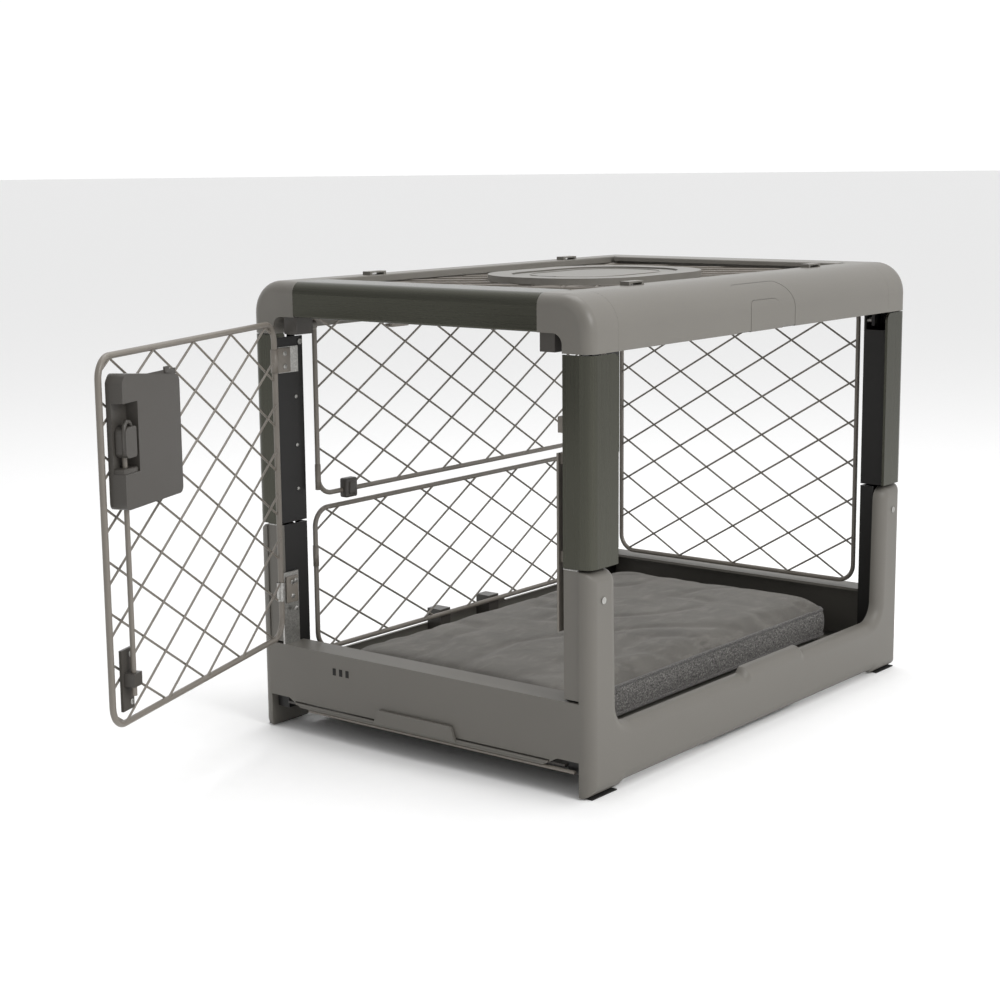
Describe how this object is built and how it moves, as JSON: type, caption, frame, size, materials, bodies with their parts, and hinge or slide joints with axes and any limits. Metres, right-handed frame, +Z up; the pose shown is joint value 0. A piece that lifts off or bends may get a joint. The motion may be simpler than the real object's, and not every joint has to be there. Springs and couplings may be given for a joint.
{
  "type": "folding wire dog crate",
  "caption": "Folding dog crate with plastic base frames, folding legs, mesh walls, swinging front door, stowed side door, roof hatch, tray and cushion.",
  "frame": {"origin": "on the floor, under the middle of the base", "axes": "+X towards the open long side, front door at -Y, +Z up"},
  "size_m": [0.5774, 1.2762, 0.637],
  "materials": {
    "base_plastic": "fine-grained warm dark grey",
    "roof_plastic": "fine-grained warm grey",
    "anodised": "dark olive satin anodised",
    "black_channel": "satin black",
    "painted_wire": "warm grey powder coat",
    "dark_plastic": "near-black textured",
    "steel": "satin",
    "rubber": "matt",
    "cushion_fabric": "charcoal plush top with a heathered woven band"
  },
  "bodies": {
    "base": {"right_base_frame": "base_plastic", "left_base_frame": "base_plastic", "front_plate": "base_plastic", "rear_plate": "base_plastic", "floor_pan": "dark_plastic", "foot_pads": "rubber", "foot_pivot_pins": "steel", "arm_screws": "steel", "front_edge_wire": "painted_wire", "panel_brackets": "dark_plastic", "left_lower_panel": "painted_wire", "door_jamb_hinge": "steel", "cushion": "cushion_fabric"},
    "tray": {"tray": "base_plastic"},
    "front_lower_legs": {"front_lower_links": "black_channel", "front_leg_strips": "base_plastic", "front_knee_pins": "steel"},
    "front_upper_legs": {"front_post_covers": "anodised", "front_post_channels": "black_channel", "upper_hinge_saddle": "steel", "strike_bar": "painted_wire", "strike_stop": "painted_wire"},
    "rear_lower_legs": {"rear_lower_links": "black_channel", "rear_leg_strips": "base_plastic", "rear_knee_pins": "steel"},
    "rear_upper_legs": {"rear_post_covers": "anodised", "rear_post_channels": "black_channel"},
    "roof": {"corner_caps": "roof_plastic", "front_beam": "anodised", "rear_beam": "roof_plastic", "left_roof_rail": "roof_plastic", "right_roof_rail": "roof_plastic", "roof_mesh": "painted_wire", "hatch_ring": "roof_plastic", "left_upper_panel": "painted_wire", "panel_hangers": "dark_plastic", "pivot_tongues": "black_channel", "top_pivot_pins": "steel", "wall_hinge_clips": "dark_plastic", "strap_loops": "roof_plastic", "front_corner_brackets": "dark_plastic", "rear_corner_brackets": "dark_plastic", "bump_rollers": "roof_plastic", "side_door_hinges": "dark_plastic"},
    "hatch": {"hatch_lid": "roof_plastic"},
    "rear_wall": {"rear_panel": "painted_wire"},
    "side_door": {"side_door_panel": "painted_wire", "side_door_latches": "dark_plastic"},
    "front_door": {"front_door_panel": "painted_wire", "latch_housing": "dark_plastic", "lock_guide": "dark_plastic"},
    "latch": {"latch_lever": "dark_plastic", "lock_rod": "painted_wire"},
    "left_grip": {"left_carry_grip": "roof_plastic"},
    "right_grip": {"right_carry_grip": "roof_plastic"}
  },
  "joints": [
    {"name": "fold", "type": "hinge", "parent": "base", "child": "front_lower_legs", "pos_m": [0, -0.3625, 0.041], "axis": [-1, 0, 0], "range_deg": [0, 63]},
    {"name": "front_knee", "type": "hinge", "parent": "front_lower_legs", "child": "front_upper_legs", "pos_m": [0, -0.4105, 0.2935], "axis": [-1, 0, 0], "range_deg": [-126, 0]},
    {"name": "front_top_pivot", "type": "hinge", "parent": "front_upper_legs", "child": "roof", "pos_m": [0, -0.3625, 0.546], "axis": [-1, 0, 0], "range_deg": [0, 63]},
    {"name": "rear_foot_pivot", "type": "hinge", "parent": "base", "child": "rear_lower_legs", "pos_m": [0, 0.3625, 0.041], "axis": [-1, 0, 0], "range_deg": [-63, 0]},
    {"name": "rear_knee", "type": "hinge", "parent": "rear_lower_legs", "child": "rear_upper_legs", "pos_m": [0, 0.4105, 0.2935], "axis": [-1, 0, 0], "range_deg": [0, 126]},
    {"name": "rear_wall_swing", "type": "hinge", "parent": "roof", "child": "rear_wall", "pos_m": [0, 0.3845, 0.57], "axis": [-1, 0, 0], "range_deg": [0, 90]},
    {"name": "front_door_swing", "type": "hinge", "parent": "base", "child": "front_door", "pos_m": [-0.2395, -0.418, 0.2], "axis": [0, 0, -1], "range_deg": [-70, 40]},
    {"name": "latch_lift", "type": "slide", "parent": "front_door", "child": "latch", "axis": [0, 0, 1], "range_m": [0, 0.018]},
    {"name": "side_door_swing", "type": "hinge", "parent": "roof", "child": "side_door", "pos_m": [0.232, 0, 0.592], "axis": [0, 1, 0], "range_deg": [-90, 0]},
    {"name": "hatch_lift", "type": "hinge", "parent": "roof", "child": "hatch", "pos_m": [0, 0.1285, 0.6288], "axis": [-1, 0, 0], "range_deg": [0, 100]},
    {"name": "left_grip_turn", "type": "hinge", "parent": "roof", "child": "left_grip", "pos_m": [-0.285, 0, 0.563], "axis": [0, -1, 0], "range_deg": [0, 75]},
    {"name": "right_grip_turn", "type": "hinge", "parent": "roof", "child": "right_grip", "pos_m": [0.285, 0, 0.563], "axis": [0, 1, 0], "range_deg": [0, 75]},
    {"name": "tray_slide", "type": "slide", "parent": "base", "child": "tray", "axis": [0, -1, 0], "range_m": [0, 0.45]}
  ],
  "couplings": [
    {"joint": "front_knee", "follows": "fold", "ratio": -2},
    {"joint": "front_top_pivot", "follows": "fold", "ratio": 1},
    {"joint": "rear_foot_pivot", "follows": "fold", "ratio": -1},
    {"joint": "rear_knee", "follows": "fold", "ratio": 2},
    {"joint": "rear_wall_swing", "follows": "fold", "ratio": 1.4}
  ]
}
